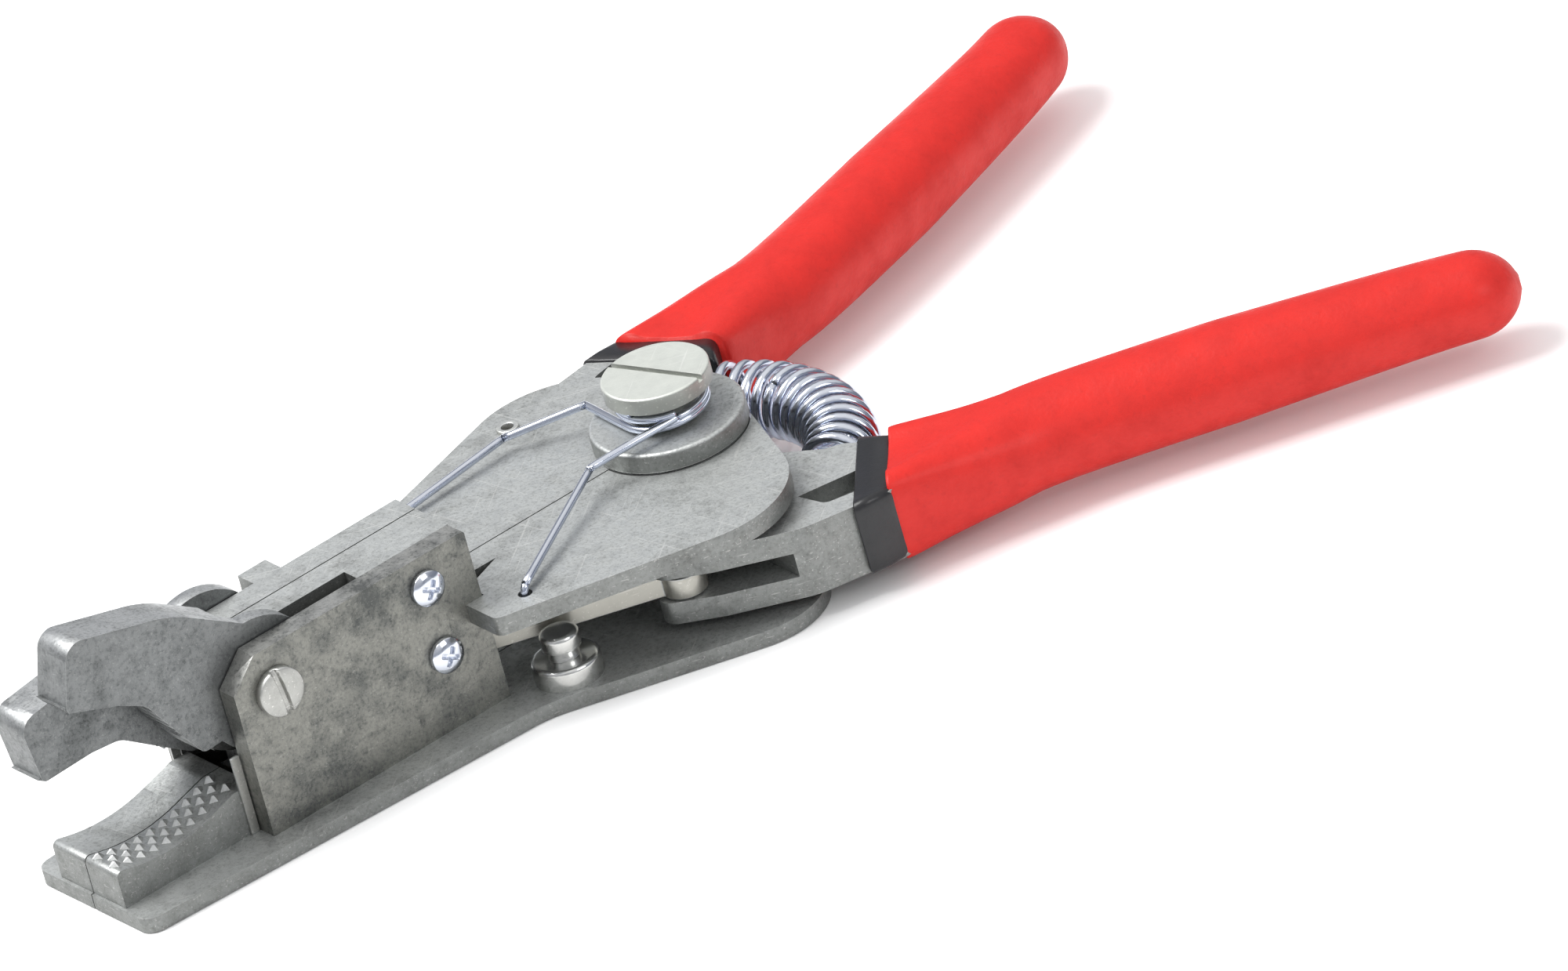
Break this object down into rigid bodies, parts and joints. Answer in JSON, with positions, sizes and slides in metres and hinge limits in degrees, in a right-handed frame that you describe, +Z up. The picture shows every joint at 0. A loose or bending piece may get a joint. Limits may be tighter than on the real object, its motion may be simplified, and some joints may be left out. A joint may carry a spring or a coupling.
{
  "type": "fencing pliers",
  "caption": "Two-handled pliers with paired hooked upper jaws over curved lower jaws, linked levers, a bowed coil spring, a hairpin spring and red vinyl grips.",
  "frame": {"origin": "foot of the main pivot axis, on the underside of the base plates", "axes": "-X towards the jaws, +X towards the grips, +Y to the far half, +Z up along the main pivot screw"},
  "size_m": [0.28, 0.1649, 0.0559],
  "materials": {
    "cast_grey": "satin",
    "cover_steel": "satin",
    "bright_screw": "polished",
    "plain_steel": "satin",
    "spring_steel": "polished",
    "bright_link": "satin",
    "black_vinyl": "satin",
    "red_vinyl": "gloss"
  },
  "bodies": {
    "near_half": {"near_body": "cast_grey", "near_side_cover": "cover_steel", "near_cover_screws": "bright_screw", "near_jaw_screw": "plain_steel", "near_wear_shim": "plain_steel", "near_stop_stud": "plain_steel", "main_screw": "plain_steel", "boss_ring": "cast_grey", "hairpin_spring": "spring_steel"},
    "far_half": {"far_body": "cast_grey", "far_side_cover": "cover_steel", "far_cover_screws": "bright_screw", "far_jaw_screw": "plain_steel", "far_wear_shim": "plain_steel", "far_stop_stud": "plain_steel", "far_rivet": "plain_steel"},
    "near_handle": {"near_lever": "cast_grey", "near_link_pin": "plain_steel", "near_underlayer": "black_vinyl", "near_grip": "red_vinyl", "return_spring": "spring_steel"},
    "far_handle": {"far_lever": "cast_grey", "far_link_pin": "plain_steel", "far_underlayer": "black_vinyl", "far_grip": "red_vinyl"},
    "near_jaw_set": {"near_jaw": "cast_grey", "near_crank_pin": "plain_steel"},
    "far_jaw_set": {"far_jaw": "cast_grey", "far_crank_pin": "plain_steel"},
    "near_link_set": {"near_link": "bright_link"},
    "far_link_set": {"far_link": "bright_link"}
  },
  "joints": [
    {"name": "half_spread", "type": "hinge", "parent": "near_half", "child": "far_half", "pos_m": [0, 0, 0.0122], "axis": [0, 0, 1], "range_deg": [-15, 0], "stiffness_Nm_per_rad": 2, "deforming": ["hairpin_spring"]},
    {"name": "near_squeeze", "type": "hinge", "parent": "near_half", "child": "near_handle", "pos_m": [0, 0, 0.0122], "axis": [0, 0, 1], "range_deg": [0, 10], "stiffness_Nm_per_rad": 2, "deforming": ["return_spring"]},
    {"name": "far_squeeze", "type": "hinge", "parent": "far_half", "child": "far_handle", "pos_m": [0, 0, 0.0122], "axis": [0, 0, -1], "range_deg": [-5, 5], "stiffness_Nm_per_rad": 2},
    {"name": "near_jaw_close", "type": "hinge", "parent": "near_half", "child": "near_jaw_set", "pos_m": [-0.0988, -0.008, 0.0291], "axis": [0, -1, 0], "range_deg": [0, 46]},
    {"name": "far_jaw_close", "type": "hinge", "parent": "far_half", "child": "far_jaw_set", "pos_m": [-0.0988, 0.008, 0.0291], "axis": [0, -1, 0], "range_deg": [-23, 23]},
    {"name": "near_link_turn", "type": "hinge", "parent": "near_handle", "child": "near_link_set", "pos_m": [-0.0191, -0.0242, 0.012], "axis": [0, 0, 1], "range_deg": [-12.1, 0]},
    {"name": "far_link_turn", "type": "hinge", "parent": "far_handle", "child": "far_link_set", "pos_m": [-0.01692, 0.02577, 0.012], "axis": [0, 0, -1], "range_deg": [-6.05, 6.05]}
  ],
  "couplings": [
    {"joint": "near_jaw_close", "follows": "near_squeeze", "ratio": 4.6},
    {"joint": "far_jaw_close", "follows": "far_squeeze", "ratio": 4.6},
    {"joint": "near_link_turn", "follows": "near_squeeze", "ratio": -1.21},
    {"joint": "far_link_turn", "follows": "far_squeeze", "ratio": -1.21}
  ]
}
